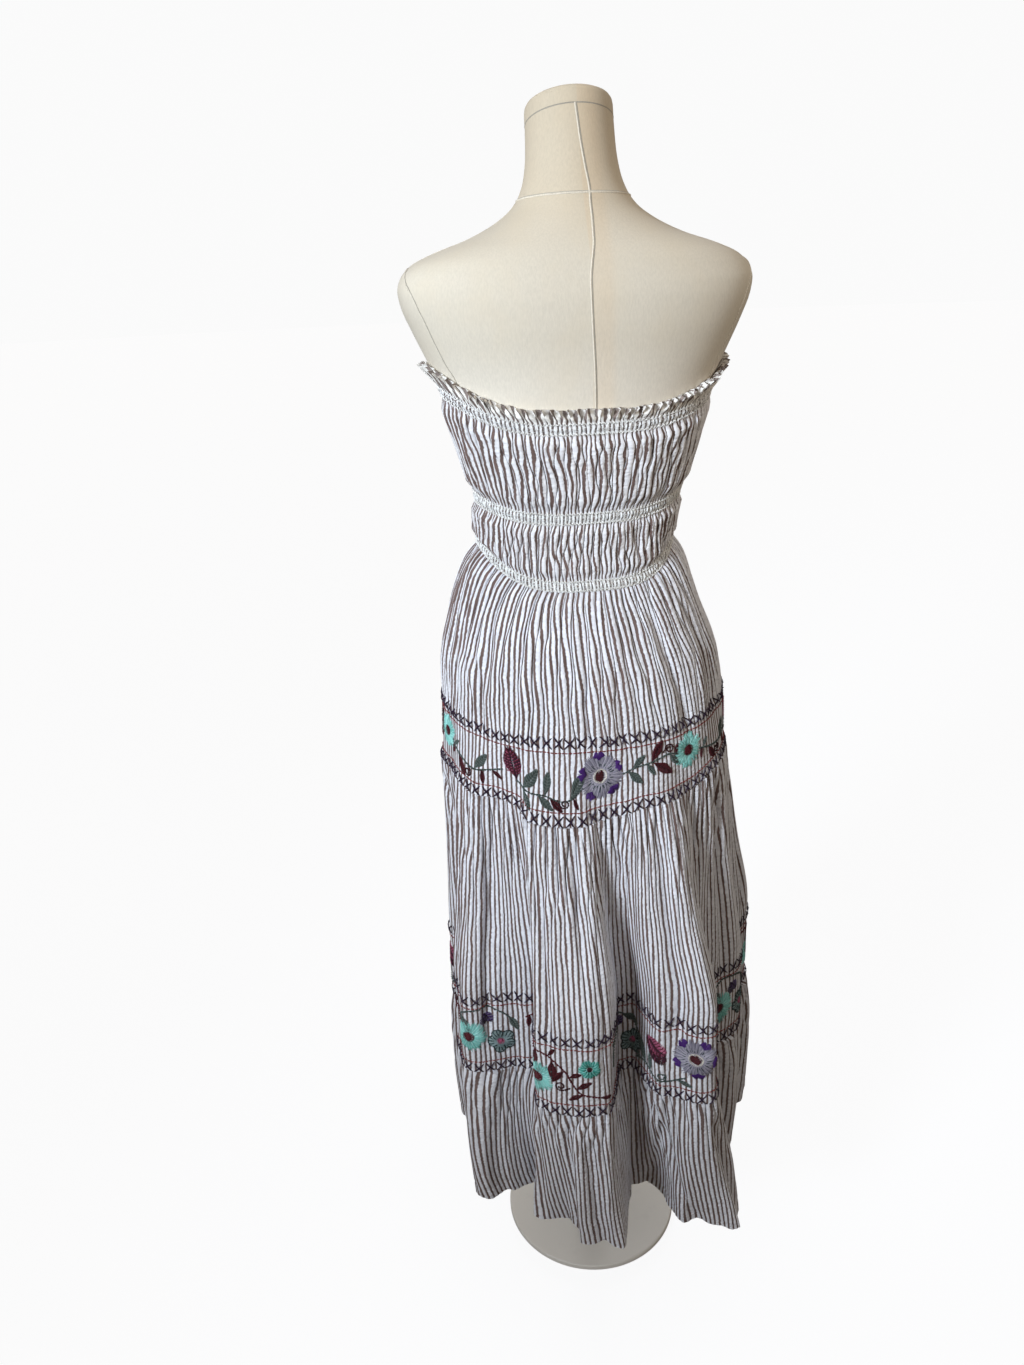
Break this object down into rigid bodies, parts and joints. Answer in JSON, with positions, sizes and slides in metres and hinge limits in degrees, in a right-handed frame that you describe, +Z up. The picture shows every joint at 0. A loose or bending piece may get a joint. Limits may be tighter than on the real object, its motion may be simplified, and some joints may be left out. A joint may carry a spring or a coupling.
{
  "type": "strapless three-tier midi dress on a limbless dress form",
  "caption": "Strapless shirred midi dress with three gathered tiers, striped cotton and embroidered bands, on a cream dress form with a round base.",
  "frame": {"origin": "middle of the round base's underside, on the floor", "axes": "+Z up; the dress faces -Y, so its back is towards +Y; +X is the wearer's left"},
  "size_m": [0.4483, 0.4967, 1.5753],
  "materials": {
    "striped_cotton": "crinkled white cotton with brown-grey stripes, shirred and gathered",
    "cream_jersey": "fine matt jersey stretched over the form",
    "pole_steel": "brushed steel",
    "base_paint": "cream paint, satin"
  },
  "bodies": {
    "root": {"bodice_back": "striped_cotton", "bodice_front": "striped_cotton", "upper_tier_back": "striped_cotton", "upper_tier_front": "striped_cotton", "middle_tier_back": "striped_cotton", "middle_tier_front": "striped_cotton", "bottom_tier_back": "striped_cotton", "bottom_tier_front": "striped_cotton", "form_torso": "cream_jersey", "neck_cap": "cream_jersey", "pole": "pole_steel", "base": "base_paint"}
  },
  "joints": []
}
